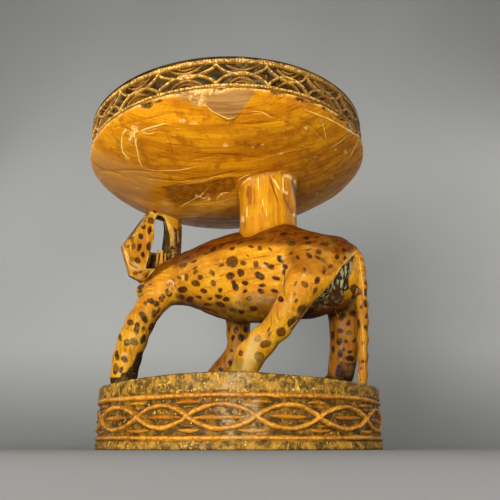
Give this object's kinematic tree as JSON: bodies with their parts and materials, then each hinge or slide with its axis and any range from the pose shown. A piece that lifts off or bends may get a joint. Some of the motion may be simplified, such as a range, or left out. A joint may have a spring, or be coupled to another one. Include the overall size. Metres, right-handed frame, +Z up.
{
  "type": "carved leopard stool",
  "caption": "Round carved wooden stool whose shallow seat is carried on a short column by a standing spotted leopard on a drum-shaped base with interlace bands.",
  "frame": {"origin": "centre of the flat underside of the round base, on the surface that the stool stands on", "axes": "+Z up, +X towards the leopard's rump side (right in the picture), +Y away from the picture's viewer"},
  "size_m": [0.3902, 0.3894, 0.4399],
  "materials": {
    "spotted_wood": "varnished golden wood with painted dark spots",
    "plain_wood": "varnished, grain showing, scratched",
    "seat_wood": "varnished amber wood, scratched",
    "band_ground": "dark painted ground with worn flecks",
    "carved_line": "worn golden relief lines",
    "teeth_wood": "pale painted wood",
    "dark_paint": "dark painted wood"
  },
  "bodies": {
    "root": {"base_drum": "band_ground", "base_lower_line": "carved_line", "base_upper_line": "carved_line", "base_interlace": "carved_line", "base_spindles": "carved_line", "seat_bowl": "seat_wood", "seat_lower_line": "carved_line", "seat_upper_line": "carved_line", "seat_swags": "carved_line", "seat_lozenges": "dark_paint", "column": "plain_wood", "torso": "spotted_wood", "head": "spotted_wood", "near_teeth": "teeth_wood", "far_teeth": "teeth_wood", "near_ear": "spotted_wood", "far_ear": "spotted_wood", "near_eye": "dark_paint", "far_eye": "dark_paint", "nose": "dark_paint", "left_foreleg": "spotted_wood", "right_foreleg": "spotted_wood", "left_hindleg": "spotted_wood", "right_hindleg": "spotted_wood", "tail": "spotted_wood"}
  },
  "joints": []
}
